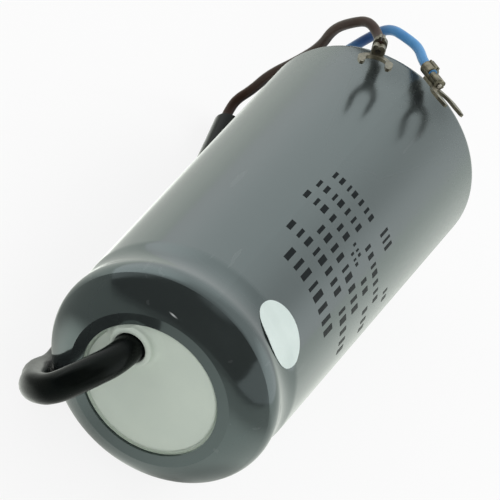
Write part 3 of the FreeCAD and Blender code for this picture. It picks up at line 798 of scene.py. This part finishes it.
# %% Mirrored floor in front of the can
glow_spots = (  # centre, radius where it is full, radius where it ends, brightness added
    ((0.045, -0.065, 0.0), 0.015, 0.085, 0.65),
    ((-0.030, -0.062, 0.0), 0.005, 0.028, 1.2),
    ((0.026, -0.044, 0.0), 0.006, 0.020, -0.45),
    ((0.013, -0.042, 0.0), 0.002, 0.010, -0.36),
    ((-0.003, -0.042, 0.0), 0.002, 0.010, -0.36))
across = ramp(paper_tree, floor_x, -0.06, 0.06, 0.36, 0.60)
nearness = ramp(paper_tree, floor_y, -0.45, -0.12, 0.3, 1.0)
front_floor = combine(paper_tree, "MULTIPLY", across, nearness)
for centre, full_radius, end_radius, brightness in glow_spots:
    to_glow = add_node(paper_tree, "ShaderNodeVectorMath", operation="DISTANCE")
    to_glow.inputs[1].default_value = centre
    paper_tree.links.new(paper_place, to_glow.inputs[0])
    glow = ramp(paper_tree, to_glow.outputs["Value"], full_radius, end_radius, brightness, 0.0)
    front_floor = combine(paper_tree, "ADD", front_floor, glow)
print("glows:", len(glow_spots))

# %% [markdown]
# Beside the can its straight side mirrors a narrow strip of floor at each angle, so there the brightness
# depends on X alone: darker on the right, with one bright band on the left. A float curve holds it. The
# ramp that feeds the curve is eased at both ends, so the curve's places are eased millimetres too.

# %% Mirrored floor beside the can
curve_reach = 250  # millimetres to either side
curve_gain = 2.0  # a float curve ends at 1, so it holds half the brightness
back_levels = ((-250, 0.64), (-140, 0.58), (-75, 0.47), (-59, 0.50), (-57, 0.88), (-47, 0.90), (-40, 0.75),
               (-30, 0.72), (25, 0.42), (50, 0.59), (100, 0.68), (250, 0.64))
back_floor = add_node(paper_tree, "ShaderNodeFloatCurve")
back_curve = back_floor.mapping.curves[0]
back_curve.points[0].location = (0.0, back_levels[0][1])
back_curve.points[1].location = (1.0, back_levels[-1][1])
for place, level in back_levels[1:-1]:
    back_curve.points.new((place + curve_reach) / (2 * curve_reach), level)
for point in back_curve.points:
    point.handle_type = "VECTOR"
back_floor.mapping.update()
eased_x = ramp(paper_tree, floor_x, -curve_reach * MM, curve_reach * MM)
paper_tree.links.new(eased_x, back_floor.inputs["Value"])
side_floor = combine(paper_tree, "MULTIPLY", back_floor.outputs[0], curve_gain)
print("points of the curve:", len(back_curve.points))

# %% The floor as reflections see it
towards_back = ramp(paper_tree, floor_y, -0.05, 0.005)
MIX_NUMBERS = (2, 3)
mirrored = add_node(paper_tree, "ShaderNodeMix")
feed(paper_tree, mirrored.inputs[MIX_FACTOR], towards_back)
feed(paper_tree, mirrored.inputs[MIX_NUMBERS[0]], front_floor)
feed(paper_tree, mirrored.inputs[MIX_NUMBERS[1]], side_floor)
mirrored_floor = add_node(paper_tree, "ShaderNodeEmission", Color=(0.98, 1.02, 0.95, 1.0))
paper_tree.links.new(mirrored.outputs[0], mirrored_floor.inputs["Strength"])
paper_ray = add_node(paper_tree, "ShaderNodeLightPath")
lit_paper = paper_tree.nodes["Principled BSDF"].outputs[0]
bounced_floor = mix_shaders(paper_tree, paper_ray.outputs["Is Glossy Ray"], lit_paper,
                            mirrored_floor.outputs[0])
print("floor nodes so far:", len(paper_tree.nodes))

# %% [markdown]
# To the camera most of the floor is plain white and the rest is lit paper. So it ends in white all round,
# and a faint shadow of the object stays in it.

# %% Floor as the camera sees it
white_share = 0.86
white_paper = add_node(paper_tree, "ShaderNodeEmission", Strength=1.0)
white_part = combine(paper_tree, "MULTIPLY", paper_ray.outputs["Is Camera Ray"], white_share)
seen_floor = mix_shaders(paper_tree, white_part, bounced_floor, white_paper.outputs[0])
paper_tree.links.new(seen_floor, paper_tree.nodes["Material Output"].inputs["Surface"])
print("floor nodes:", len(paper_tree.nodes))

# %% [markdown]
# ## Colour
#
# The Standard view shows a colour about as it is written.

# %% Colour
bpy.context.scene.view_settings.view_transform = "Standard"
print("view:", bpy.context.scene.view_settings.view_transform)

# %% Update the view layer
bpy.context.view_layer.update()
